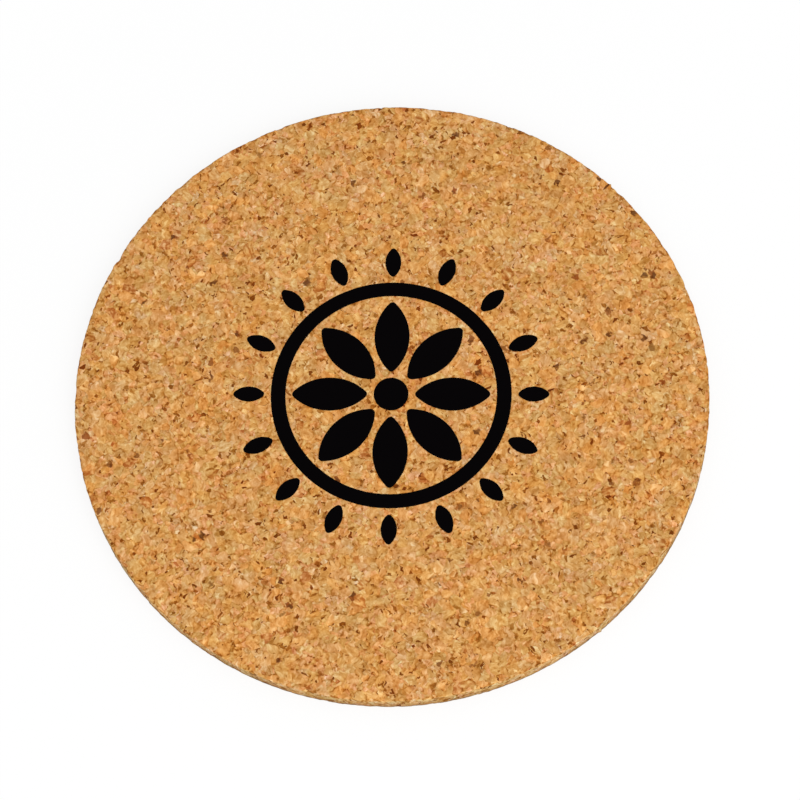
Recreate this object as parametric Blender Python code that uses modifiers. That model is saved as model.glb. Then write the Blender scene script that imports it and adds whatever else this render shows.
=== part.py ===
# Round drinks coaster: a die-cut disc of agglomerated cork with a one-colour rosette printed on top.
# Metres, +Z up. The origin is the centre of the face that lies on the table.
import math

import bpy

# Cork disc
DISC_DIAMETER = 0.095
DISC_THICKNESS = 0.003
UPPER_EDGE_RADIUS = 0.0004  # the cutting die rolls the edge over where it enters
LOWER_EDGE_RADIUS = 0.00015  # and leaves it crisp where it breaks through

# Printed film
INK_THICKNESS = 0.00005
INK_GAP = 0.001  # bare cork left between neighbouring shapes
DOT_RADIUS = 0.0026
PETAL_COUNT = 8
PETAL_LENGTH = 0.0112
PETAL_TIP_RADIUS = 0.0006
RING_WIDTH = 0.0022
RAY_COUNT = 16
RAY_LENGTH = 0.0046
RAY_WIDTH = 0.0024
RAY_TIP_RADIUS = 0.0005

# Facets
DISC_STEPS = 128
RING_STEPS = 96
DOT_STEPS = 48
SIDE_STEPS = 10
TIP_STEPS = 4
EDGE_STEPS = 4


def arc(x, y, radius, first, last, steps):
    angles = [first + (last - first) * i / steps for i in range(steps + 1)]
    return [(x + radius * math.cos(a), y + radius * math.sin(a)) for a in angles]


def circle(radius, steps):
    return arc(0, 0, radius, 0, math.tau, steps)[:-1]


# A leaf lies along X about x = middle: two long arcs, tangent to a small round tip at each end.
def leaf(middle, length, width, tip):
    half = length / 2 - tip
    rise = width / 2 - tip
    radius = (half * half + rise * rise) / (2 * rise)
    sweep = math.asin(half / radius)
    drop = radius - rise
    quarter = math.pi / 2
    upper = arc(middle, -drop, radius + tip, quarter - sweep, quarter + sweep, SIDE_STEPS)
    inner = arc(middle - half, 0, tip, quarter + sweep, 3 * quarter - sweep, TIP_STEPS)
    lower = arc(middle, drop, radius + tip, 3 * quarter - sweep, 3 * quarter + sweep, SIDE_STEPS)
    outer = arc(middle + half, 0, tip, sweep - quarter, quarter - sweep, TIP_STEPS)
    return upper[:-1] + inner[:-1] + lower[:-1] + outer[:-1]


# The radius at which round tips set in a circle lie just one gap apart.
def crowded(tip, count, gap):
    return (tip + gap / 2) / math.sin(math.pi / count) - tip


# The widest leaf whose long arcs stay half a gap from the line midway to the next leaf of the circle.
def widest_leaf(start, length, tip, count, gap):
    half = length / 2 - tip
    middle = start + length / 2
    share = math.pi / count
    room = 2 * middle * math.sin(share) - gap - 2 * tip
    spread = math.sqrt(room * room - (2 * half * math.sin(share)) ** 2)
    return (room + spread) / (1 + math.cos(share)) + 2 * tip


def make_material(name, color, roughness):
    material = bpy.data.materials.new(name)
    material.use_nodes = True
    shader = material.node_tree.nodes["Principled BSDF"]
    shader.inputs["Base Color"].default_value = (*color, 1)
    shader.inputs["Roughness"].default_value = roughness
    shader.inputs["Metallic"].default_value = 0
    material.diffuse_color = (*color, 1)
    return material


# A turned piece: the profile runs from the top centre to the bottom centre and is spun about Z.
def turned(name, profile, material):
    edges = [(i, i + 1) for i in range(len(profile) - 1)]
    mesh = bpy.data.meshes.new(name)
    mesh.from_pydata([(x, 0, z) for x, z in profile], edges, [])
    mesh.materials.append(material)
    piece = bpy.data.objects.new(name, mesh)
    coaster.objects.link(piece)
    screw = piece.modifiers.new("spin", "SCREW")
    screw.axis = "Z"
    screw.angle = math.tau
    screw.steps = DISC_STEPS
    screw.render_steps = DISC_STEPS
    screw.use_merge_vertices = True
    screw.merge_threshold = 0.000001
    screw.use_smooth_shade = True
    piece.modifiers.new("level_flats", "WEIGHTED_NORMAL")
    return piece


def film_outline(name, outlines, material):
    outline = bpy.data.curves.new(name, "CURVE")
    outline.dimensions = "2D"
    outline.fill_mode = "BOTH"
    outline.extrude = INK_THICKNESS / 2
    outline.materials.append(material)
    for points in outlines:
        spline = outline.splines.new("POLY")
        spline.points.add(len(points) - 1)
        for place, (x, y) in zip(spline.points, points):
            place.co = (x, y, 0, 1)
        spline.use_cyclic_u = True
    return outline


# A printed shape seats face to face on the cork, turned about the middle of the print.
def printed(name, outline, turn=0.0):
    piece = bpy.data.objects.new(name, outline)
    coaster.objects.link(piece)
    piece.parent = print_datum
    piece.location = (0, 0, INK_THICKNESS / 2)
    piece.rotation_euler = (0, 0, turn)
    return piece


for old in list(bpy.data.objects):
    bpy.data.objects.remove(old, do_unlink=True)

coaster = bpy.data.collections.new("cork_coaster")
bpy.context.scene.collection.children.link(coaster)
cork = make_material("cork", (0.63, 0.306, 0.096), 0.85)
black_ink = make_material("black_ink", (0.006, 0.006, 0.006), 0.5)

# Cork disc
rim = DISC_DIAMETER / 2
roll = UPPER_EDGE_RADIUS
crisp = LOWER_EDGE_RADIUS
profile = [(0, DISC_THICKNESS)]
profile += arc(rim - roll, DISC_THICKNESS - roll, roll, math.pi / 2, 0, EDGE_STEPS)
profile += arc(rim - crisp, crisp, crisp, 0, -math.pi / 2, EDGE_STEPS)
profile += [(0, 0)]
turned("cork_disc", profile, cork)

# The print is laid out from the middle outwards, each band one gap beyond the last.
petal_start = max(DOT_RADIUS + INK_GAP, crowded(PETAL_TIP_RADIUS, PETAL_COUNT, INK_GAP))
petal_end = petal_start + PETAL_LENGTH
ring_inner = petal_end + INK_GAP
ring_outer = ring_inner + RING_WIDTH
ray_start = ring_outer + INK_GAP
ray_end = ray_start + RAY_LENGTH

print_datum = bpy.data.objects.new("print_datum", None)
print_datum.location = (0, 0, DISC_THICKNESS)
coaster.objects.link(print_datum)

printed("print_centre_dot", film_outline("dot_outline", [circle(DOT_RADIUS, DOT_STEPS)], black_ink))

petal_middle = (petal_start + petal_end) / 2
petal_width = widest_leaf(petal_start, PETAL_LENGTH, PETAL_TIP_RADIUS, PETAL_COUNT, INK_GAP)
petal_points = leaf(petal_middle, PETAL_LENGTH, petal_width, PETAL_TIP_RADIUS)
petal_outline = film_outline("petal_outline", [petal_points], black_ink)
for i in range(PETAL_COUNT):
    printed(f"print_petal_{i + 1}", petal_outline, math.tau * i / PETAL_COUNT)

ring_circles = [circle(ring_outer, RING_STEPS), circle(ring_inner, RING_STEPS)]
printed("print_ring", film_outline("ring_outline", ring_circles, black_ink))

ray_middle = (ray_start + ray_end) / 2
ray_room = widest_leaf(ray_start, RAY_LENGTH, RAY_TIP_RADIUS, RAY_COUNT, INK_GAP)
ray_points = leaf(ray_middle, RAY_LENGTH, min(RAY_WIDTH, ray_room), RAY_TIP_RADIUS)
ray_outline = film_outline("ray_outline", [ray_points], black_ink)
for i in range(RAY_COUNT):
    printed(f"print_ray_{i + 1:02d}", ray_outline, math.tau * i / RAY_COUNT)

print(f"petal {petal_width * 1000:.2f} mm wide, print {ray_end * 2000:.1f} mm across")
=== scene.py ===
import math
import bpy
import numpy as np
from mathutils import Matrix, Vector


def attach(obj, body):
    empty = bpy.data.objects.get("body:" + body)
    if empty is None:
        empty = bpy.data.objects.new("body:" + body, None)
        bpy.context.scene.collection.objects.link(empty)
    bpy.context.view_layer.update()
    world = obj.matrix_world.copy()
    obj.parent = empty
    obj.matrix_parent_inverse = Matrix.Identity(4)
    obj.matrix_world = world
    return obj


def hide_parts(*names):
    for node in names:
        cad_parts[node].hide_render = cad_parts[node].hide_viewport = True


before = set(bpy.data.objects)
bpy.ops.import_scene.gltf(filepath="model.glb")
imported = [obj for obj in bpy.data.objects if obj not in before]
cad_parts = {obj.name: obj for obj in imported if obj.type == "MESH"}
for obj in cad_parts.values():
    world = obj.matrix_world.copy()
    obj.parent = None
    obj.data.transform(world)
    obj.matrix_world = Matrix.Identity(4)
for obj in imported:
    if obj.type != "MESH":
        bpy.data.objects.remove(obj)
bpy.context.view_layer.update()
mm = 0.001

# Camera: the view from which the disc's outline falls on the photograph's, with a long lens
camera = {
    "azimuth": 6.99,  # degrees round to the right from the front
    "elevation": 69.23,
    "roll": -6.54,
    "lens": 150.0,
    "sensor": 36.0,
    "nearest": 0.01,
    "distance": 500.3 * mm,
    "aside": (1.21 * mm, 0.165 * mm),  # how far the camera stands right of and above the disc's centre
}


# The camera stands the distance from the disc's centre, round by the azimuth and up by the elevation. The
# roll turns its right and up about the view line, and it steps aside along both
def makeCamera(spec):
    a, e, r = (math.radians(spec[k]) for k in ("azimuth", "elevation", "roll"))
    back = Vector((math.sin(a) * math.cos(e), -math.cos(a) * math.cos(e), math.sin(e)))
    level = Vector((math.cos(a), math.sin(a), 0))
    upright = back.cross(level)
    right = level * math.cos(r) + upright * math.sin(r)
    up = upright * math.cos(r) - level * math.sin(r)
    place = back * spec["distance"] + right * spec["aside"][0] + up * spec["aside"][1]
    data = bpy.data.cameras.new("camera")
    data.lens = spec["lens"]
    data.sensor_width = spec["sensor"]
    data.clip_start = spec["nearest"]
    made = bpy.data.objects.new("camera", data)
    bpy.context.scene.collection.objects.link(made)
    turn = Matrix((right, up, back)).transposed().to_4x4()
    made.matrix_world = Matrix.Translation(place) @ turn
    bpy.context.scene.camera = made


makeCamera(camera)
print("camera set")


# Shader helpers. A node with its settings made, and each socket linked or set
def node(tree, kind, sockets=None, **settings):
    made = tree.nodes.new("ShaderNode" + kind)
    for key, value in settings.items():
        setattr(made, key, value)
    for key, value in (sockets or {}).items():
        if isinstance(value, bpy.types.NodeSocket):
            tree.links.new(value, made.inputs[key])
        else:
            made.inputs[key].default_value = value
    return made


# One number out of two, by the named operation
def calc(tree, operation, a, b):
    return node(tree, "Math", {0: a, 1: b}, operation=operation).outputs[0]


# The sum of some numbers, from left to right
def add(tree, first, *others):
    for other in others:
        first = calc(tree, "ADD", first, other)
    return first


# The product of some numbers, from left to right
def times(tree, first, *others):
    for other in others:
        first = calc(tree, "MULTIPLY", first, other)
    return first


# One vector out of two, or out of one and a factor
def vec(tree, operation, a, b):
    key = "Scale" if operation == "SCALE" else 1
    return node(tree, "VectorMath", {0: a, key: b}, operation=operation).outputs[0]


# A vector's length: the root of the sum of its squares
def length(tree, a):
    return node(tree, "VectorMath", {0: a}, operation="LENGTH").outputs["Value"]


# A vector turned about X, Y and Z by three angles
def turned(tree, a, angles):
    return node(tree, "VectorRotate", {"Vector": a, "Rotation": angles}, rotation_type="EULER_XYZ").outputs[0]


# A smooth step between two places, of which the first may be the higher: 3 t t - 2 t t t of the way from one
# value to the other
def step(tree, value, places, values=(0.0, 1.0)):
    sockets = {"Value": value, "From Min": places[0], "From Max": places[1]}
    sockets.update({"To Min": values[0], "To Max": values[1]})
    return node(tree, "MapRange", sockets, interpolation_type="SMOOTHSTEP").outputs[0]


# Two colours mixed by a share, or the first multiplied by that share of the second
def blend(tree, share, a, b, way="MIX"):
    return node(tree, "Mix", {0: share, 6: a, 7: b}, data_type="RGBA", blend_type=way).outputs[2]


# A soft random field about 0.5, with so many swells to the millimetre and finer ones added to them
def noise(tree, place, rate, detail=1.0, roughness=0.5):
    sockets = {"Vector": place, "Scale": rate, "Detail": detail, "Roughness": roughness}
    return node(tree, "TexNoise", sockets)


# Random cells of a size: every point belongs to the nearest of seeds that are strewn one to a cube
def cells(tree, place, size, feature="F1"):
    return node(tree, "TexVoronoi", {"Vector": place, "Scale": 1 / size}, feature=feature)


# A cell's colour is three chances from 0 to 1
def chances(tree, color):
    return node(tree, "SeparateColor", {0: color}).outputs[:3]


# Three chances less a half each, so that they lie about 0
def centred(tree, color):
    return vec(tree, "SUBTRACT", color, (0.5, 0.5, 0.5))


# A soft random way to stray, so far: a noise's three values about 0, times that distance
def straying(tree, place, rate, far):
    return vec(tree, "SCALE", centred(tree, noise(tree, place, rate).outputs["Color"]), far)


# A colour written as it looks on screen, 0 to 255, in the renderer's own scale
def tone(r, g, b):
    v = np.array([r, g, b]) / 255
    return (*np.where(v > 0.04045, ((v + 0.055) / 1.055) ** 2.4, v / 12.92), 1.0)


# A colour that runs straight from stop to stop as the value grows; plain stops are factors, not tones
def ramp(tree, value, stops, plain=False):
    made = node(tree, "ValToRGB", {0: value})
    bar = made.color_ramp
    while len(bar.elements) < len(stops):
        bar.elements.new(0.5)
    for spot, (place, color) in zip(bar.elements, stops):
        spot.position = place
        spot.color = (*color, 1.0) if plain else tone(*color)
    return made.outputs[0]


# A height field pressed into the shading, so many metres deep from 0 to 1
def bump(tree, shader, height, depth):
    made = node(tree, "Bump", {"Strength": 1.0, "Distance": depth, "Height": height})
    tree.links.new(made.outputs[0], shader.inputs["Normal"])


# An empty material, its nodes and its surface shader
def newMaterial(name):
    made = bpy.data.materials.new(name)
    made.use_nodes = True
    tree = made.node_tree
    return made, tree, tree.nodes["Principled BSDF"]


# Cork: granules of two sizes with a tint each, broken into slivers that run their own way in each granule
corkLook = {
    "large": 1.40,  # granules, in millimetres
    "small": 0.84,
    # how far the granules' borders bend, and how fast along each axis
    "waves": [(0.14, (2.3, 1.9, 2.1)), (0.07, (7.3, 6.1, 6.7))],
    "grain": 0.49,  # slivers: their thickness, and how much the place is drawn together along each axis
    "stretch": (0.40, 0.70, 1.0),
    "ragged": 0.6,  # how far their borders stray
    "raggedRate": 3.0,  # swells to the millimetre, across a sliver
    "fibreRate": 2.1,
    "poreRate": 5.8,
    "shadeRate": 0.30,  # and across the whole sheet
    "driftRate": 0.45,
    "patchRate": 1.3,
    "largeShare": 0.55,  # shares of all granules or slivers
    "missingShare": 0.015,
    "redShare": 0.032,
    "speckShare": 0.058,
    "paleShare": 0.05,
    "speckSize": (0.26, 0.34),  # a speck's least half width, and how much more it may have
    "speckFlat": (1.0, 0.9, 1.35),  # and how flat it is, along each axis of its sliver
    "speckFray": (-0.18, 0.16),
    "speckSoft": (0.11, -0.11),
    # painted shade in creases: the low side of a granule's border is darkened in colour
    "creaseShadeEdge": (0.27, 0.03),  # creases on a granule's low side: how near to the border,
    "creaseShadeLean": (0.0, -0.16),  # how low,
    "creaseShadePatch": (0.40, 0.62),  # and in which patches of a noise
    # painted shade in torn borders between granules, and along the rounded upper edge
    "tornShadeEdge": (0.23, 0.04),  # where a border is torn open: how near to it, and in which patches
    "tornShadePatch": (0.61, 0.69),
    "rimEdge": (0.19, 0.06),  # and the same along the upper edge, where more of them are
    "rimPatch": (0.48, 0.57),
    "rimReach": (46.85, 47.3),
    "rimHeight": (2.4, 2.8),
    # painted shade in the pit of a missing granule
    "missingShadeEdge": (0.02, 0.16),  # how far from its border the place of a missing granule is dark
    # painted dome shading: a painted highlight in a sliver's middle and painted shade at its border
    "crownShadeReach": (0.38, 0.05),  # how far from its middle a sliver is paler
    # painted shade down the cut wall, darker towards the floor
    "wallShadeHeight": (2.4, 0.2),  # from where to where the cut wall darkens
    "redFibre": (0.62, 0.38),  # a red granule's colour follows the fibre, and covers so much
    "redCover": (0.15, 0.95),
    "red": (0.74, 0.50, 0.36, 1),  # factors
    "roughness": (0.70, 0.2),
    "specular": 0.06,
    "bump": 0.055 * mm,
}
usual = (0.2, 0.8)  # nearly all of a noise lies between these

# what each feature adds to the lightness, or takes from it, of which 0 is the darkest tone and 1 the palest
corkLight = {
    "common": 0.646,
    "granule": 0.108,
    "shade": (-0.047, 0.047),
    "sliver": (-0.09, 0.075),
    "fibre": (-0.155, 0.13),
    # painted dome shading on each sliver
    "crownShade": (-0.04, 0.04),
    "pore": (-0.045, 0.045),
    "pale": 0.12,
    # painted shade in torn borders and along the upper edge
    "tornShade": 0.38,
    "speck": (0.25, 0.52),
    # painted shade in creases
    "creaseShade": 0.22,
    # painted shade in the pits of missing granules
    "missingPitShade": 0.34,
    # painted shade down the cut wall
    "wall": 0.23,
}
# the common tone: red and green fall evenly from pale to dark, blue a little faster
corkTones = [
    (0.0, (118, 55, 7)),
    (0.226, (152, 89, 27)),
    (0.452, (184, 121, 55)),
    (0.613, (206, 147, 83)),
    (0.742, (221, 167, 105)),
    (0.871, (235, 189, 131)),
    (0.968, (244, 206, 153)),
]
# how a granule's tint differs from the common tone, as factors
granuleTints = [
    (0.00, (1.06, 0.94, 0.79)),
    (0.16, (1.01, 1.00, 0.86)),
    (0.32, (0.945, 1.015, 0.935)),
    (0.48, (1.00, 0.99, 1.03)),
    (0.62, (1.05, 0.955, 0.92)),
    (0.76, (1.06, 0.95, 1.09)),
    (0.88, (0.955, 1.03, 1.22)),
    (1.00, (0.965, 1.03, 1.06)),
]
# and how the tint drifts slowly across the sheet
slowTints = [(0.3, (1.04, 0.973, 0.83)), (0.7, (0.955, 1.013, 1.14))]


# Where a point lies on the smooth disc, in millimetres: as it is, bent by waves, in each of which a sine of
# every axis is added to the axis before it, and as a height and a distance from the middle; and how far it
# belongs to the cut wall
def corkPlaces(tree, look):
    place = node(tree, "Attribute", attribute_name="rest").outputs["Vector"]
    bent = place
    for far, rate in look["waves"]:
        wave = node(tree, "VectorMath", {0: vec(tree, "MULTIPLY", bent, rate)}, operation="SINE").outputs[0]
        wx, wy, wz = node(tree, "SeparateXYZ", {0: vec(tree, "SCALE", wave, far)}).outputs
        bent = vec(tree, "ADD", bent, node(tree, "CombineXYZ", {0: wy, 1: wz, 2: wx}).outputs[0])
    x, y, height = node(tree, "SeparateXYZ", {0: place}).outputs
    return {
        "place": place,
        "bent": bent,
        "height": height,
        "reach": length(tree, node(tree, "CombineXYZ", {0: x, 1: y}).outputs[0]),
        "wall": node(tree, "Attribute", attribute_name="wall").outputs["Fac"],
    }


# Granules: a large cell is whole if its first chance is under the large share, and elsewhere the small cells
# show. A border's distance is the nearer one of those that show. A small granule is missing if its third
# chance is high. A granule leans by its chances, less a half, along the way from its seed
def granuleCells(tree, bent, look):
    largeCell = cells(tree, bent, look["large"])
    smallCell = cells(tree, bent, look["small"])
    large, small = largeCell.outputs["Color"], smallCell.outputs["Color"]
    largeEdge = cells(tree, bent, look["large"], "DISTANCE_TO_EDGE").outputs["Distance"]
    smallEdge = cells(tree, bent, look["small"], "DISTANCE_TO_EDGE").outputs["Distance"]
    whole = calc(tree, "LESS_THAN", chances(tree, large)[0], look["largeShare"])
    inner = times(tree, smallEdge, look["small"])
    outer = times(tree, largeEdge, look["large"])
    gone = calc(tree, "GREATER_THAN", chances(tree, small)[2], 1 - look["missingShare"])
    gone = times(tree, gone, calc(tree, "SUBTRACT", 1.0, whole), step(tree, inner, look["missingShadeEdge"]))
    own = blend(tree, whole, small, large)
    seed = blend(tree, whole, smallCell.outputs["Position"], largeCell.outputs["Position"])
    dot = {0: vec(tree, "SUBTRACT", bent, seed), 1: centred(tree, own)}
    return {
        "own": own,
        "lean": node(tree, "VectorMath", dot, operation="DOT_PRODUCT").outputs["Value"],
        "edge": calc(tree, "MINIMUM", outer, add(tree, inner, whole)),
        "gone": gone,
    }


# Slivers: the granule's three chances, as parts of a full turn, turn the place, which is then pressed
# together along two axes, so that the cells and the noises there are drawn out along them; a noise makes the
# cells' borders stray. The way from a sliver's seed is measured evenly for its painted dome shading, and
# flattened for its speck
def sliverCells(tree, bent, own, look):
    along = turned(tree, bent, vec(tree, "SCALE", own, 2 * math.pi))
    along = vec(tree, "MULTIPLY", along, look["stretch"])
    strayed = vec(tree, "ADD", along, straying(tree, along, look["raggedRate"], look["ragged"]))
    grain = cells(tree, strayed, look["grain"])
    off = vec(tree, "SUBTRACT", strayed, grain.outputs["Position"])
    return {
        "chances": chances(tree, grain.outputs["Color"]),
        "middle": times(tree, grain.outputs["Distance"], look["grain"]),
        "flat": length(tree, vec(tree, "MULTIPLY", off, look["speckFlat"])),
        "fibre": noise(tree, along, look["fibreRate"], detail=2.0).outputs[0],
        "pore": noise(tree, along, look["poreRate"], detail=2.0, roughness=0.6).outputs[0],
    }


# Painted shade in torn borders: 1 near a border, within the patches of a noise; along the upper edge, where
# the reach and the height are both great, the patches are wider, as painted shade on the rounded edge
def tornBorderShade(tree, at, edge, patch, look):
    inside = times(tree, step(tree, edge, look["tornShadeEdge"]), step(tree, patch, look["tornShadePatch"]))
    rim = times(tree, step(tree, at["reach"], look["rimReach"]), step(tree, at["height"], look["rimHeight"]))
    rim = times(tree, rim, step(tree, edge, look["rimEdge"]), step(tree, patch, look["rimPatch"]))
    return calc(tree, "MAXIMUM", inside, rim)


# Painted shade in creases: 1 near a granule's border, on the side to which it falls, within wider patches of
# the same noise
def paintedCreaseShade(tree, granule, patch, look):
    near = step(tree, granule["edge"], look["creaseShadeEdge"])
    low = step(tree, granule["lean"], look["creaseShadeLean"])
    return times(tree, near, low, step(tree, patch, look["creaseShadePatch"]))


# Dark specks: a sliver whose third chance is under the share is dark out to a distance that grows with that
# chance, and the second chance says how dark
def darkSpecks(tree, sliver, look, light):
    size, deep = sliver["chances"][2], sliver["chances"][1]
    chosen = calc(tree, "LESS_THAN", size, look["speckShare"])
    reach = add(tree, look["speckSize"][0], times(tree, size, look["speckSize"][1] / look["speckShare"]))
    reach = add(tree, reach, step(tree, sliver["fibre"], usual, look["speckFray"]))
    shape = step(tree, calc(tree, "SUBTRACT", sliver["flat"], reach), look["speckSoft"])
    return times(tree, chosen, shape, add(tree, light["speck"][0], times(tree, deep, light["speck"][1])))


# The lightness is a sum: the common one, the granule's, the sliver's and the noises' own shares, with painted
# dome shading on each sliver, more on pale slivers, and less by the darkest of the painted shade in torn
# borders, the specks and the painted shade in creases there, by painted shade in the place of missing
# granules and by painted shade down the cut wall
def corkLightness(tree, at, granule, sliver, look, light):
    shade = noise(tree, at["place"], look["shadeRate"]).outputs[0]
    pale = calc(tree, "GREATER_THAN", sliver["chances"][1], 1 - look["paleShare"])
    patch = noise(tree, at["place"], look["patchRate"]).outputs[0]
    # painted shade in torn borders and along the upper edge
    tornShade = times(tree, tornBorderShade(tree, at, granule["edge"], patch, look), light["tornShade"])
    # painted shade in creases
    creaseShade = times(tree, paintedCreaseShade(tree, granule, patch, look), light["creaseShade"])
    dark = calc(tree, "MAXIMUM", tornShade, darkSpecks(tree, sliver, look, light))
    dark = calc(tree, "MAXIMUM", dark, creaseShade)
    # painted shade in the pits of missing granules
    lostPitShade = times(tree, granule["gone"], light["missingPitShade"])
    # painted shade down the cut wall, darker towards the floor
    wall = times(tree, at["wall"], step(tree, at["height"], look["wallShadeHeight"], (0.0, light["wall"])))
    total = add(
        tree,
        light["common"],
        times(tree, chances(tree, granule["own"])[1], light["granule"]),
        step(tree, shade, usual, light["shade"]),
        step(tree, sliver["chances"][0], (0.0, 1.0), light["sliver"]),
        step(tree, sliver["fibre"], usual, light["fibre"]),
        # painted dome shading on each sliver
        step(tree, sliver["middle"], look["crownShadeReach"], light["crownShade"]),
        step(tree, sliver["pore"], usual, light["pore"]),
        times(tree, pale, light["pale"]),
    )
    for less in (dark, lostPitShade, wall):
        total = calc(tree, "SUBTRACT", total, less)
    return total


# Bits of bark in the cork
bark = {
    "size": 1.3,  # millimetres
    "share": 0.028,
    "unevenRate": 1.9,  # how fast a bit's border strays, and how far
    "uneven": 1.1,
    "turns": 40.0,  # radians for a chance of 1
    "squeeze": (0.62, 1.0, 1.2),  # along each axis of the bit
    "span": (0.33, 0.36),  # a bit's least half width, and how much more it may have
    "fray": (-0.18, 0.18),
    "soft": (0.09, -0.08),
    "coreShare": 0.5,
    "corePlace": (0.16, 0.10, 0.0),
    "coreSoft": (-0.10, -0.28),
    "core": (84, 36, 6),
    "shade": (0.35, 1.3),
    "cover": 0.9,
    # splinters in the rim: direction in degrees, reach, height, and half the length, the width and the depth
    "splinters": [(46.3, 46.9, 3.0, (0.95, 0.20, 0.6))],
    "splinterSoft": (1.1, 0.6),
    "tones": [
        (0.0, (110, 55, 16)),
        (0.25, (156, 106, 50)),
        (0.5, (136, 62, 17)),
        (0.75, (150, 92, 40)),
        (1.0, (116, 62, 22)),
    ],
}


# A bit of bark lies round its cell's seed: the way from the seed, made uneven by a noise, turned by the
# cell's chances and squeezed, is shorter than a span that the chances and the fibre give. A share of them has
# a dark core, which is the same shape made smaller and moved aside
def addBark(tree, at, fibre, color, spec):
    cell = cells(tree, at["bent"], spec["size"])
    which, wide, cored = chances(tree, cell.outputs["Color"])
    uneven = straying(tree, at["place"], spec["unevenRate"], spec["uneven"])
    away = vec(tree, "SUBTRACT", vec(tree, "ADD", at["bent"], uneven), cell.outputs["Position"])
    away = turned(tree, away, vec(tree, "SCALE", cell.outputs["Color"], spec["turns"]))
    away = vec(tree, "MULTIPLY", away, spec["squeeze"])
    least, more = spec["span"]
    span = add(tree, least, times(tree, wide, more), step(tree, fibre, usual, spec["fray"]))
    short = calc(tree, "SUBTRACT", length(tree, away), span)
    bit = times(tree, calc(tree, "LESS_THAN", which, spec["share"]), step(tree, short, spec["soft"]))
    short = calc(tree, "SUBTRACT", length(tree, vec(tree, "ADD", away, spec["corePlace"])), span)
    cored = calc(tree, "LESS_THAN", cored, spec["coreShare"])
    core = times(tree, bit, step(tree, short, spec["coreSoft"]), cored)
    shown = ramp(tree, calc(tree, "DIVIDE", which, spec["share"]), spec["tones"])
    shown = vec(tree, "SCALE", shown, add(tree, spec["shade"][0], times(tree, fibre, spec["shade"][1])))
    shown = blend(tree, times(tree, core, spec["cover"]), shown, tone(*spec["core"]))
    return blend(tree, times(tree, bit, spec["cover"]), color, shown)


# A splinter is dark where the way from its middle, along it, across and up, in its half sizes, is shorter
# than 1
def addSplinters(tree, at, color, spec):
    for angle, reach, height, halves in spec["splinters"]:
        t = math.radians(angle)
        sockets = {"Vector": at["place"], "Location": (reach * math.cos(t), reach * math.sin(t), height)}
        sockets.update({"Rotation": (0.0, 0.0, t), "Scale": halves})
        away = node(tree, "Mapping", sockets, vector_type="TEXTURE").outputs[0]
        dark = times(tree, step(tree, length(tree, away), spec["splinterSoft"]), spec["cover"])
        color = blend(tree, dark, color, tone(*spec["core"]))
    return color


# The cut wall's own straw colour, and a painted shadow line along its foot
cutWall = {
    "straw": [(0.85, 1.05, 1.34, 1), (0.83, 1.09, 1.80, 1)],  # factors, at the top and at the foot
    "strawHeight": (2.4, 0.4),
    # painted shadow line along the wall's foot
    "footShadowHeight": (0.55, 0.15),
    "footShadowCover": 0.75,
    "footShadow": (118, 102, 80),
}


# The wall's colour is multiplied by a straw tint that deepens downwards, and a painted shadow line is mixed
# in along its foot, where it meets the floor
def strawTintAndFootShadow(tree, at, color, spec):
    straw = blend(tree, step(tree, at["height"], spec["strawHeight"]), *spec["straw"])
    color = blend(tree, at["wall"], color, straw, "MULTIPLY")
    # painted shadow line along the wall's foot, where it meets the floor
    footShadow = times(tree, at["wall"], step(tree, at["height"], spec["footShadowHeight"]), spec["footShadowCover"])
    return blend(tree, footShadow, color, tone(*spec["footShadow"]))


# Cork's colour is the lightness's tone times the granule's tint, the red of a few and the slow drift, then
# the bark, the splinters, the wall's straw tint and the painted shadow along its foot; the same lightness is
# its bump
def makeCorkMaterial(look, light):
    made, tree, shader = newMaterial("cork")
    at = corkPlaces(tree, look)
    granule = granuleCells(tree, at["bent"], look)
    sliver = sliverCells(tree, at["bent"], granule["own"], look)
    lightness = corkLightness(tree, at, granule, sliver, look, light)
    hue, _, rare = chances(tree, granule["own"])
    color = ramp(tree, lightness, corkTones)
    color = blend(tree, 1.0, color, ramp(tree, hue, granuleTints, plain=True), "MULTIPLY")
    red = calc(tree, "LESS_THAN", rare, look["redShare"])
    red = times(tree, red, step(tree, sliver["fibre"], look["redFibre"], look["redCover"]))
    color = blend(tree, red, color, look["red"], "MULTIPLY")
    drift = noise(tree, at["place"], look["driftRate"]).outputs[0]
    color = blend(tree, 1.0, color, ramp(tree, drift, slowTints, plain=True), "MULTIPLY")
    color = addBark(tree, at, sliver["fibre"], color, bark)
    color = addSplinters(tree, at, color, bark)
    color = strawTintAndFootShadow(tree, at, color, cutWall)
    tree.links.new(color, shader.inputs["Base Color"])
    rough = add(tree, times(tree, sliver["fibre"], look["roughness"][1]), look["roughness"][0])
    tree.links.new(rough, shader.inputs["Roughness"])
    shader.inputs["Specular IOR Level"].default_value = look["specular"]
    bump(tree, shader, lightness, look["bump"])
    return made


# Ink: a dull black film with a fine grit
inkLook = {
    "gritRate": 5.0,
    "grit": (0.3, 0.7),
    "tones": [(0.3, (2, 1, 2)), (0.7, (5, 3, 4))],
    "roughness": (0.55, 0.75),
    "specular": 0.015,
    "bump": 0.02 * mm,
}


# Colour, roughness and bump all follow one noise of the place in millimetres
def makeInkMaterial(look):
    made, tree, shader = newMaterial("black_ink")
    place = vec(tree, "SCALE", node(tree, "TexCoord").outputs["Object"], 1 / mm)
    grit = noise(tree, place, look["gritRate"], detail=2.0, roughness=0.6).outputs[0]
    tree.links.new(ramp(tree, grit, look["tones"]), shader.inputs["Base Color"])
    tree.links.new(step(tree, grit, look["grit"], look["roughness"]), shader.inputs["Roughness"])
    shader.inputs["Specular IOR Level"].default_value = look["specular"]
    bump(tree, shader, grit, look["bump"])
    return made


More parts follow.
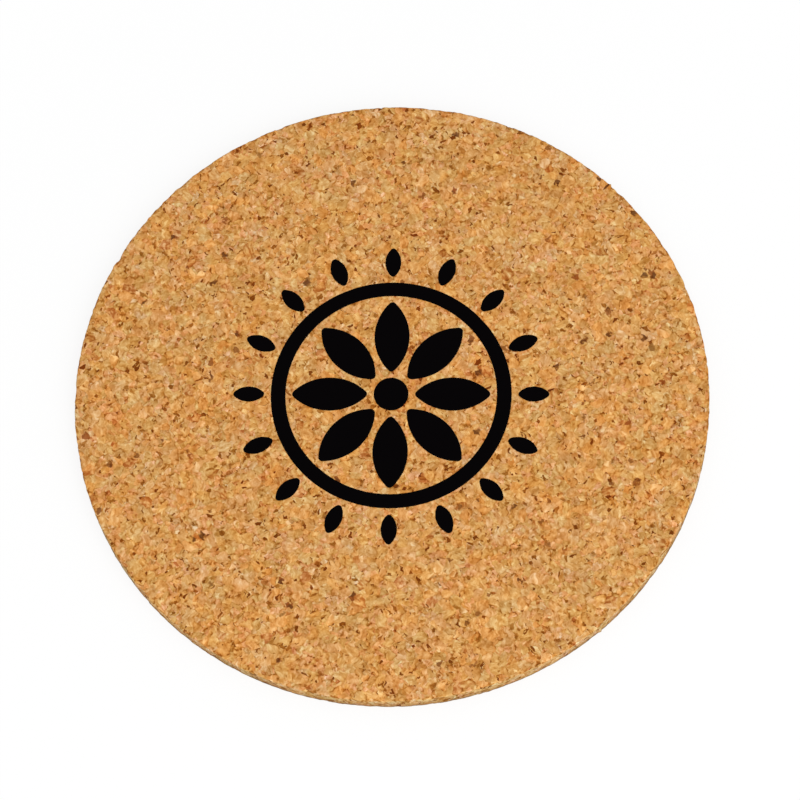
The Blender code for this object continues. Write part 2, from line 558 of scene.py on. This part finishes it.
cork = makeCorkMaterial(corkLook, corkLight)
ink = makeInkMaterial(inkLook)
for name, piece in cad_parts.items():
    piece.data.materials.clear()
    piece.data.materials.append(cork if name == "cork_disc" else ink)
print("materials set")

# The granules of the mesh are those of the texture, so the mesh works out the same random cells, by a hash of
# each cell's whole-number place
hashSeed = 0xdeadbeef


# 32 bits turned left by k places
def turnBits(x, k):
    return (x << np.uint32(k)) | (x >> np.uint32(32 - k))


# The 32 bits that a number is kept as
def rawBits(v):
    return np.ascontiguousarray(v, np.float32).view(np.uint32)


# Each of three words in turn is crossed with the next and loses a turned copy of it
def lastMix(a, b, c):
    c = (c ^ b) - turnBits(b, 14)
    a = (a ^ c) - turnBits(c, 11)
    b = (b ^ a) - turnBits(a, 25)
    c = (c ^ b) - turnBits(b, 16)
    a = (a ^ c) - turnBits(c, 4)
    b = (b ^ a) - turnBits(a, 14)
    return (c ^ b) - turnBits(b, 24)


# Three numbers to one: the last mix of their bits and a seed that grows with their count
def hashThree(x, y, z):
    s = np.uint32(hashSeed + (3 << 2) + 13)
    return lastMix(rawBits(x) + s, rawBits(y) + s, rawBits(z) + s)


# Four numbers to one: six rounds over the first three, with such a seed, and the last mix with the fourth
def hashFour(x, y, z, w):
    s = np.uint32(hashSeed + (4 << 2) + 13)
    a, b, c = rawBits(x) + s, rawBits(y) + s, rawBits(z) + s
    a, c = (a - c) ^ turnBits(c, 4), c + b
    b, a = (b - a) ^ turnBits(a, 6), a + c
    c, b = (c - b) ^ turnBits(b, 8), b + a
    a, c = (a - c) ^ turnBits(c, 16), c + b
    b, a = (b - a) ^ turnBits(a, 19), a + c
    c, b = (c - b) ^ turnBits(b, 4), b + a
    return lastMix(a + rawBits(np.full(x.shape, w)), b, c)


# A cell's three chances: its place hashed alone, with a 1 and with a 2, as parts of the largest word
def cellRandom(cell):
    x, y, z = cell[:, 0], cell[:, 1], cell[:, 2]
    words = [hashThree(x, y, z), hashFour(x, y, z, 1.0), hashFour(x, y, z, 2.0)]
    return np.stack(words, axis=1) / float(0xffffffff)


# A mean of the values of the 27 cells around each place, weighed by how little further than the nearest seed
# each seed is: the exponential of the squared distances' difference, over a soft border
def softCells(place, size, soft, values):
    spot = place / size
    home = np.floor(spot)
    gaps, found = [], []
    for shift in np.ndindex(3, 3, 3):
        cell = home + np.array(shift) - 1
        chance = cellRandom(cell)
        gaps.append((((cell + chance - spot) * size) ** 2).sum(axis=1))
        found.append(values(chance, (spot - cell - chance) * size))
    gaps = np.stack(gaps)
    share = np.exp(-(gaps - gaps.min(axis=0)) / soft)
    share /= share.sum(axis=0)
    return (share[..., None] * np.stack(found)).sum(axis=0)


# The texture's bend: in each wave, a sine of every axis is added to the axis before it
def bend(place, look):
    for far, rate in look["waves"]:
        place = place + far * np.sin(place * rate)[:, [1, 2, 0]]
    return place


# Printed shapes, in millimetres from the middle
rosette = {
    "dot": 2.6,
    "petals": {"count": 8, "start": 3.6, "length": 11.2, "width": 5.258, "tip": 0.6},
    "ring": (15.8, 18.0),
    "rays": {"count": 16, "start": 19.0, "length": 4.6, "width": 2.4, "tip": 0.5},
    "film": 0.045,
    "thinEdge": 0.55,  # share of the film's thickness that its border has
    "embed": 0.02,  # how deep the film reaches into the cork
    "ragged": 0.012,  # how far its border wanders,
    "wander": ((6.1, 4.3), (5.7, 4.9)),  # each axis fast along the other one and slowly along its own,
    "swing": 2.0,  # and how much the slow sine swings the fast one
    "grid": 20,
    "ringGrid": (360, 9),
}


# Half a leaf's width at a distance along it from its middle: a long arc, then a round tip that touches it
def leafHalf(x, leaf):
    tip = leaf["tip"]
    half = leaf["length"] / 2 - tip
    rise = leaf["width"] / 2 - tip
    radius = (half * half + rise * rise) / (2 * rise)
    x = np.abs(x)
    long = np.sqrt(np.maximum((radius + tip) ** 2 - x * x, 0)) - (radius - rise)
    short = np.sqrt(np.maximum(tip * tip - (x - half) ** 2, 0))
    return np.where(x < (radius + tip) * half / radius, long, short)


# How far a place stands from the nearest printed shape, roughly, less than 0 being inside: from the dot and
# the ring by the radius alone, and from the nearest leaf by the larger of its gaps along and across
def printGap(x, y):
    r, turn = np.hypot(x, y), np.arctan2(y, x)
    inner, outer = rosette["ring"]
    gap = np.minimum(r - rosette["dot"], np.abs(r - (inner + outer) / 2) - (outer - inner) / 2)
    for leaf in (rosette["petals"], rosette["rays"]):
        share = 2 * math.pi / leaf["count"]
        near = turn - np.round(turn / share) * share
        half = leaf["length"] / 2
        lx = r * np.cos(near) - leaf["start"] - half
        aside = np.abs(r * np.sin(near)) - leafHalf(np.clip(lx, -half, half), leaf)
        gap = np.minimum(gap, np.maximum(aside, np.abs(lx) - half))
    return gap


# Cork disc, in millimetres
disc = {
    "radius": 47.5,
    "thick": 3.0,
    "upperEdge": 0.4,
    "lowerEdge": 0.15,
    "grid": 256,  # steps across the top; the underside has half as many
    "edgeRows": 4,
    "wallRows": 8,
    "baseInset": 0.5,
    "relief": 0.10,  # how deep the lowest granules lie, on the faces and on the wall
    "wallRelief": 0.16,
    "grit": 0.10,  # finer roughness of the cut wall, and its size and softness
    "gritSize": 0.42,
    "gritSoft": 0.02,
    "softSmall": 0.08,  # the borders of small and large granules
    "softLarge": 0.12,
    "standing": (0.15, 0.7),  # the least height of a granule, and how much more it may have, from 0 to 1
    "lean": 1.0,  # how much a granule's top leans, per millimetre
    "hollow": 1.5,
    "pressed": 0.45,  # share of the relief that is left under the print
    "sink": 0.05,  # how much deeper the cork lies under the films, and over how far from their borders
    "sinkSlope": 0.2,
    "clear": (0.15, 0.45),  # how far from the print the relief becomes whole again
    "pit": 0.32,  # where a granule is missing
    "looseShare": 0.2,  # crumbs lost along the upper edge
    "crumb": 0.08,
    "edgeReach": 0.55,  # how far an edge's bell curve reaches
    # bits broken out of the rim or standing off it: direction in degrees, height, size and depth
    "chips": [
        (44.0, 3.0, 0.5, 0.2),
        (46.1, 2.8, 0.25, -0.20),
        (152.0, 3.0, 0.6, 0.3),
        (-32.6, 3.0, 0.5, 0.3),
        (-49.3, 0.9, 0.32, -0.42),
        (-70.0, 3.0, 0.45, 0.25),
        (-126.0, 3.0, 0.5, 0.3),
    ],
    # picture map: the top as a large disc, the underside as a small one, the rim as four strips
    "topMap": (0.40, 0.60, 0.39),
    "baseMap": (0.81, 0.19, 0.185),
    "stripMap": {"left": 0.005, "length": 0.61, "top": 0.035, "height": 0.03, "pitch": 0.045},
}


# True on the flat of the top
def onTop(rest, spec):
    return rest[:, 2] >= spec["thick"]


# How deep the cork's face lies under its smooth form: one less the height of the granule there, to a power,
# times the relief, less of it under the print; and a pit where a granule is missing, but for the lower edge,
# lost crumbs along the upper edge, and a finer grit on the cut wall. An edge is a bell curve of the distance
# from it
def corkDepth(rest, wall, look, spec):
    place = bend(rest, look)
    least, more = spec["standing"]

    # a granule's height is its second chance, and leans by all three along the way from its seed
    def standing(chance, off):
        return least + more * chance[:, 1] + spec["lean"] * ((chance - 0.5) * off).sum(axis=1)

    # a small granule's height, and whether it is missing or loose
    def smallValues(chance, off):
        gone = chance[:, 2] > 1 - look["missingShare"]
        loose = chance[:, 0] > 1 - spec["looseShare"]
        return np.stack([standing(chance, off), gone, loose], axis=1)

    # whether a large granule is whole, and its height if it is
    def largeValues(chance, off):
        whole = chance[:, 0] < look["largeShare"]
        return np.stack([whole, whole * standing(chance, off)], axis=1)

    # how deep a grain of the wall's grit lies
    def gritValues(chance, off):
        return chance[:, :1]

    small = softCells(place, look["small"], spec["softSmall"], smallValues)
    large = softCells(place, look["large"], spec["softLarge"], largeValues)
    level = np.clip(large[:, 1] + (1 - large[:, 0]) * small[:, 0], 0, 1)
    gone = (1 - large[:, 0]) * small[:, 1]
    start, end = spec["clear"]
    clear = np.clip((printGap(rest[:, 0], rest[:, 1]) - start) / (end - start), 0, 1)
    clear = np.maximum(clear, ~onTop(rest, spec))
    depth = (1 - level) ** spec["hollow"] * (spec["relief"] + (spec["wallRelief"] - spec["relief"]) * wall)
    depth *= spec["pressed"] + (1 - spec["pressed"]) * clear
    inward = np.hypot(rest[:, 0], rest[:, 1]) - spec["radius"]
    upper = np.exp(-(np.hypot(inward, rest[:, 2] - spec["thick"]) / spec["edgeReach"]) ** 2)
    lower = np.exp(-(np.hypot(inward, rest[:, 2]) / spec["edgeReach"]) ** 2)
    cut = wall > 0
    grit = np.zeros(len(rest))
    grit[cut] = wall[cut] * softCells(place[cut], spec["gritSize"], spec["gritSoft"], gritValues)[:, 0]
    depth += gone * clear * (1 - lower) * spec["pit"]
    return depth + small[:, 2] * upper * spec["crumb"] + grit * spec["grit"]


# Bits broken out of the rim or standing off it: each is a round bell curve about its own point of the rim
def chipDepth(rest, spec):
    depth = np.zeros(len(rest))
    for angle, height, size, deep in spec["chips"]:
        t = math.radians(angle)
        off = rest - (spec["radius"] * math.cos(t), spec["radius"] * math.sin(t), height)
        depth += deep * np.exp(-(off ** 2).sum(axis=1) / (size * size))
    return depth


# The cork sinks under the films, so that none shows through: a straight slope from their borders inwards
def sinkDepth(rest, spec):
    inside = np.clip(-printGap(rest[:, 0], rest[:, 1]) / spec["sinkSlope"], 0, 1)
    return spec["sink"] * inside * onTop(rest, spec)


# A square grid drawn out to a disc of radius 1: every square about the middle becomes a circle, whose quarter
# turns are the square's sides
def discGrid(n):
    a, b = np.meshgrid(np.linspace(-1, 1, n + 1), np.linspace(-1, 1, n + 1), indexing="ij")
    flat = np.abs(a) >= np.abs(b)
    far = np.where(flat, a, b)
    safe = np.where(far == 0, 1, far)
    turn = np.where(flat, math.pi / 4 * b / safe, math.pi / 2 - math.pi / 4 * a / safe)
    return far * np.cos(turn), far * np.sin(turn), np.maximum(np.abs(a), np.abs(b))


# The grid's border, counter-clockwise from 45 degrees below the X axis
def gridBorder(n):
    index = np.arange((n + 1) ** 2).reshape(n + 1, n + 1)
    return np.concatenate([index[n, :n], index[:0:-1, n], index[0, :0:-1], index[:n, 0]])


# The four corners of every square of a grid, each a step along, across or both; a closed grid's last row
# meets its first
def gridQuads(rows, columns, closed=False):
    index = np.arange(rows * columns).reshape(rows, columns)
    if closed:
        index = np.concatenate([index, index[:1]])
    quads = [index[:-1, :-1], index[1:, :-1], index[1:, 1:], index[:-1, 1:]]
    return np.stack(quads, axis=-1).reshape(-1, 4)


# A smooth mesh object from points in millimetres and blocks of faces
def makeMesh(name, points, faces, material):
    mesh = bpy.data.meshes.new(name)
    mesh.from_pydata((points * mm).tolist(), [], [f.tolist() for block in faces for f in block])
    mesh.polygons.foreach_set("use_smooth", np.ones(len(mesh.polygons), bool))
    mesh.materials.append(material)
    made = bpy.data.objects.new(name, mesh)
    bpy.context.scene.collection.objects.link(made)
    return made


# A number or a vector for every vertex, kept with the mesh
def keepValues(mesh, name, kind, field, values):
    made = mesh.attributes.new(name, kind, "POINT")
    made.data.foreach_set(field, values.astype(np.float32).ravel())


# A finished piece rides on the one body, stands for its solid and takes that solid's finish
def addPiece(made, replaced):
    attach(made, "root")
    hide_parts(replaced)


# The rim's outline from the top face to the underside, as reach, height and outward slope: a quarter circle,
# a straight wall and a smaller quarter circle
def rimOutline(spec):
    radius, thick, roll, crisp = (spec[k] for k in ("radius", "thick", "upperEdge", "lowerEdge"))
    bow = np.radians(np.linspace(90, 0, spec["edgeRows"] + 1)[1:])
    upper = [(radius - roll * (1 - math.cos(t)), thick - roll * (1 - math.sin(t)), t) for t in bow]
    top, fall = thick - roll, crisp - thick + roll
    middle = [(radius, top + fall * k / spec["wallRows"], 0.0) for k in range(1, spec["wallRows"] + 1)]
    under = np.radians([-45, -90])
    lower = [(radius - crisp * (1 - math.cos(t)), crisp * (1 + math.sin(t)), t) for t in under]
    return np.array(upper + middle + lower)


# The disc at rest, smooth: the top's grid, the rim's outline carried round the middle and the underside's
# grid, as points and outward directions
def discRest(spec):
    n = spec["grid"]
    outline = rimOutline(spec)
    turn = -math.pi / 4 + 2 * math.pi * np.arange(4 * n) / (4 * n)
    around = np.stack([np.cos(turn), np.sin(turn)], axis=1)
    x, y, _ = discGrid(n)
    reach = spec["radius"] - spec["upperEdge"]
    top = np.stack([x.ravel() * reach, y.ravel() * reach, np.full(x.size, spec["thick"])], axis=1)
    edge = np.concatenate([np.column_stack([around * r, np.full(4 * n, z)]) for r, z, t in outline])
    out = [np.column_stack([around * math.cos(t), np.full(4 * n, math.sin(t))]) for r, z, t in outline]
    x, y, _ = discGrid(n // 2)
    reach = spec["radius"] - spec["lowerEdge"] - spec["baseInset"]
    base = np.stack([x.ravel() * reach, y.ravel() * reach, np.zeros(x.size)], axis=1)
    up = np.array([0.0, 0.0, 1.0])
    normal = np.concatenate([np.tile(up, (len(top), 1)), *out, np.tile(-up, (len(base), 1))])
    return np.concatenate([top, edge, base]), normal, len(outline)


# The disc's faces: the top's grid, a band of squares between each two of the rim's loops, a band that halves
# the count by three triangles to every two squares, and the underside's grid turned over
def discFaces(n, rows):
    rim = 4 * n
    firstEdge = (n + 1) ** 2
    firstBase = firstEdge + rows * rim
    loops = [gridBorder(n)] + [firstEdge + k * rim + np.arange(rim) for k in range(rows)]
    faces = [gridQuads(n + 1, n + 1)]
    for here, there in zip(loops, loops[1:]):
        faces.append(np.stack([np.roll(here, -1), here, there, np.roll(there, -1)], axis=1))
    fine, coarse = loops[-1], firstBase + gridBorder(n // 2)
    a, b, c = fine[0::2], fine[1::2], np.roll(fine, -2)[0::2]
    d, e = coarse, np.roll(coarse, -1)
    for three in ((b, a, d), (b, d, e), (c, b, e)):
        faces.append(np.stack(three, axis=1))
    faces.append(firstBase + gridQuads(n // 2 + 1, n // 2 + 1)[:, ::-1])
    return faces


# The disc's picture map, corner by corner in the faces' order: both flats by their own places, scaled and
# moved, and the rim by its distance along a quarter of it and its row
def discMap(spec, faces, rows):
    n = spec["grid"]
    strips = spec["stripMap"]

    # a place on one of the four strips, from its distance along and down
    def stripPlace(along, down, which):
        u = strips["left"] + strips["length"] * along
        return np.stack([u, strips["top"] - strips["height"] * down + strips["pitch"] * which], axis=-1)

    # the places of a flat's grid, which the underside has mirrored
    def flatPlace(steps, place, mirror):
        x, y, _ = discGrid(steps)
        return np.column_stack([place[0] + place[2] * x.ravel(), place[1] + mirror * place[2] * y.ravel()])

    corners = [flatPlace(n, spec["topMap"], 1)[faces[0]].reshape(-1, 2)]
    column = np.arange(4 * n)
    left, strip = (column % n) / n, column // n
    right = left + 1 / n
    for k in range(rows):
        down, below = k / (rows + 1), (k + 1) / (rows + 1)
        four = [(right, down), (left, down), (left, below), (right, below)]
        four = [stripPlace(along, far, strip) for along, far in four]
        corners.append(np.stack(four, axis=1).reshape(-1, 2))
    left, strip = left[::2], strip[::2]
    a, b, c = (stripPlace(left + k / n, rows / (rows + 1), strip) for k in range(3))
    d, e = (stripPlace(left + k / n, 1.0, strip) for k in (0, 2))
    for three in ((b, a, d), (b, d, e), (c, b, e)):
        corners.append(np.stack(three, axis=1).reshape(-1, 2))
    base = flatPlace(n // 2, spec["baseMap"], -1)
    corners.append(base[faces[-1] - faces[-1].min()].reshape(-1, 2))
    return np.concatenate(corners)


# The disc: every point of the smooth disc moves inwards, against its outward direction, by the depth there
def makeDisc(spec, look):
    rest, normal, rows = discRest(spec)
    wall = 1 - np.abs(normal[:, 2])
    depth = corkDepth(rest, wall, look, spec) + chipDepth(rest, spec) + sinkDepth(rest, spec)
    faces = discFaces(spec["grid"], rows)
    made = makeMesh("cork_disc_surface", rest - normal * depth[:, None], faces, cork)
    keepValues(made.data, "rest", "FLOAT_VECTOR", "vector", rest)
    keepValues(made.data, "wall", "FLOAT", "value", wall)
    uv = made.data.uv_layers.new(name="OFBake")
    uv.data.foreach_set("uv", discMap(spec, faces, rows).astype(np.float32).ravel())
    return made


addPiece(makeDisc(disc, corkLook), "cork_disc")
print("cork disc made")


# Height of the cork's top face: its thickness less the depth there
def corkTop(x, y):
    rest = np.stack([x, y, np.full(x.shape, disc["thick"])], axis=1)
    return disc["thick"] - corkDepth(rest, np.zeros(x.shape), corkLook, disc)


# A film of ink: an upper and a lower face that follow the cork, joined by a wall along the edges that only
# one square has; the border is thinner, and wanders by a sine of the place that a slower sine swings
def makeFilm(name, x, y, quads, border):
    x, y, last = x.ravel(), y.ravel(), border.ravel() == 1
    far, swing = rosette["ragged"] * last, rosette["swing"]
    (fastX, slowX), (fastY, slowY) = rosette["wander"]
    straysX = far * np.sin(fastX * y + swing * np.sin(slowX * x))
    straysY = far * np.sin(fastY * x + swing * np.sin(slowY * y))
    x, y = x + straysX, y + straysY
    floor = corkTop(x, y)
    upper = np.stack([x, y, floor + rosette["film"] * np.where(last, rosette["thinEdge"], 1.0)], axis=1)
    lower = np.stack([x, y, floor - rosette["embed"]], axis=1)
    edges = np.concatenate([np.stack([quads[:, i], quads[:, (i + 1) % 4]], axis=1) for i in range(4)])
    count = len(x)
    lone = ~np.isin(edges[:, 0] * count + edges[:, 1], edges[:, 1] * count + edges[:, 0])
    a, b = edges[lone].T
    walls = np.stack([b, a, a + count, b + count], axis=1)
    faces = [quads, quads[:, ::-1] + count, walls]
    made = makeMesh(name + "_film", np.concatenate([upper, lower]), faces, ink)
    made.data.polygons.foreach_set("use_smooth", np.arange(len(made.data.polygons)) < 2 * len(quads))
    addPiece(made, name)


# A round dot: the disc's grid times its radius
def makeDot(name, radius):
    n = rosette["grid"]
    x, y, border = discGrid(n)
    makeFilm(name, x * radius, y * radius, gridQuads(n + 1, n + 1), border)


# A leaf: a disc's grid whose every chord across is drawn out to the leaf's width there, moved out and turned
def makeLeaf(name, leaf, turn):
    n = rosette["grid"]
    a, b, border = discGrid(n)
    lx = a * leaf["length"] / 2
    chord = np.sqrt(np.maximum(1 - a * a, 0))
    across = np.divide(b, chord, out=np.zeros_like(b), where=chord > 0)
    ly = across * leafHalf(lx, leaf)
    lx = lx + leaf["start"] + leaf["length"] / 2
    x = lx * math.cos(turn) - ly * math.sin(turn)
    y = lx * math.sin(turn) + ly * math.cos(turn)
    makeFilm(name, x, y, gridQuads(n + 1, n + 1), border)


# A ring: a band from the inner radius to the outer, carried round the middle
def makeRing(name, inner, outer):
    rows, columns = rosette["ringGrid"]
    spread, turn = np.meshgrid(np.linspace(-1, 1, columns), 2 * math.pi * np.arange(rows) / rows)
    reach = (inner + outer) / 2 + spread * (outer - inner) / 2
    quads = gridQuads(rows, columns, closed=True)[:, ::-1]
    makeFilm(name, reach * np.cos(turn), reach * np.sin(turn), quads, np.abs(spread))


makeDot("print_centre_dot", rosette["dot"])
for kind, stem in (("petals", "print_petal_{}"), ("rays", "print_ray_{:02d}")):
    leaf = rosette[kind]
    for i in range(leaf["count"]):
        makeLeaf(stem.format(i + 1), leaf, 2 * math.pi * i / leaf["count"])
makeRing("print_ring", *rosette["ring"])
print("print made")

# Stage: a white floor and sky, and a soft lamp at the front right
stage = {
    "half": 3.0,  # half the floor's width, in metres
    "floor": 0.97,
    "glow": 0.85,  # how far the camera sees the floor as plain white, beside the disc
    "fade": (0.055, 0.11),  # and between these distances it turns wholly white
    "world": 0.685,
    "key": 5.95,
    "keySize": 0.9,
    "keyPlace": (0.37, -0.595, 0.64),
}


# 1 for what the camera sees directly, in a mirror or through glass, and 0 for light on the object: the
# greatest of the three rays' flags
def seenRay(tree):
    path = node(tree, "LightPath")
    seen = calc(tree, "MAXIMUM", path.outputs["Is Camera Ray"], path.outputs["Is Glossy Ray"])
    return calc(tree, "MAXIMUM", seen, path.outputs["Is Transmission Ray"])


# A square floor, whose pale surface is mixed with plain white for the camera, by a share that grows with the
# distance from the middle
def makeFloor(spec):
    h = spec["half"]
    mesh = bpy.data.meshes.new("floor")
    mesh.from_pydata([(-h, -h, 0), (h, -h, 0), (h, h, 0), (-h, h, 0)], [], [(0, 1, 2, 3)])
    made = bpy.data.objects.new("floor", mesh)
    bpy.context.scene.collection.objects.link(made)
    material, tree, shader = newMaterial("floor")
    shader.inputs["Base Color"].default_value = (spec["floor"], spec["floor"], spec["floor"], 1)
    shader.inputs["Roughness"].default_value = 1.0
    shader.inputs["Specular IOR Level"].default_value = 0.0
    white = node(tree, "Emission", {"Color": (1, 1, 1, 1), "Strength": 1.0}).outputs[0]
    away = length(tree, node(tree, "TexCoord").outputs["Object"])
    seen = times(tree, seenRay(tree), step(tree, away, spec["fade"], (spec["glow"], 1.0)))
    mixed = node(tree, "MixShader", {0: seen, 1: shader.outputs[0], 2: white}).outputs[0]
    tree.links.new(mixed, tree.nodes["Material Output"].inputs["Surface"])
    mesh.materials.append(material)
    return made


# An even white sky, of one strength for the camera and another for its light on the object
def makeSky(spec):
    world = bpy.data.worlds.new("studio")
    bpy.context.scene.world = world
    world.use_nodes = True
    tree = world.node_tree
    sky = tree.nodes["Background"]
    sky.inputs["Color"].default_value = (1, 1, 1, 1)
    tree.links.new(step(tree, seenRay(tree), (0.0, 1.0), (spec["world"], 1.0)), sky.inputs["Strength"])


# A square lamp that looks at the middle of the disc: its back is along the way from there
def makeLamp(name, power, size, place):
    data = bpy.data.lights.new(name, "AREA")
    data.energy = power
    data.size = size
    made = bpy.data.objects.new(name, data)
    bpy.context.scene.collection.objects.link(made)
    made.location = place
    made.rotation_euler = (-Vector(place)).to_track_quat("-Z", "Y").to_euler()


floor = makeFloor(stage)
makeSky(stage)
makeLamp("key", stage["key"], stage["keySize"], stage["keyPlace"])
bpy.context.scene.view_settings.view_transform = "Standard"
print("stage set")
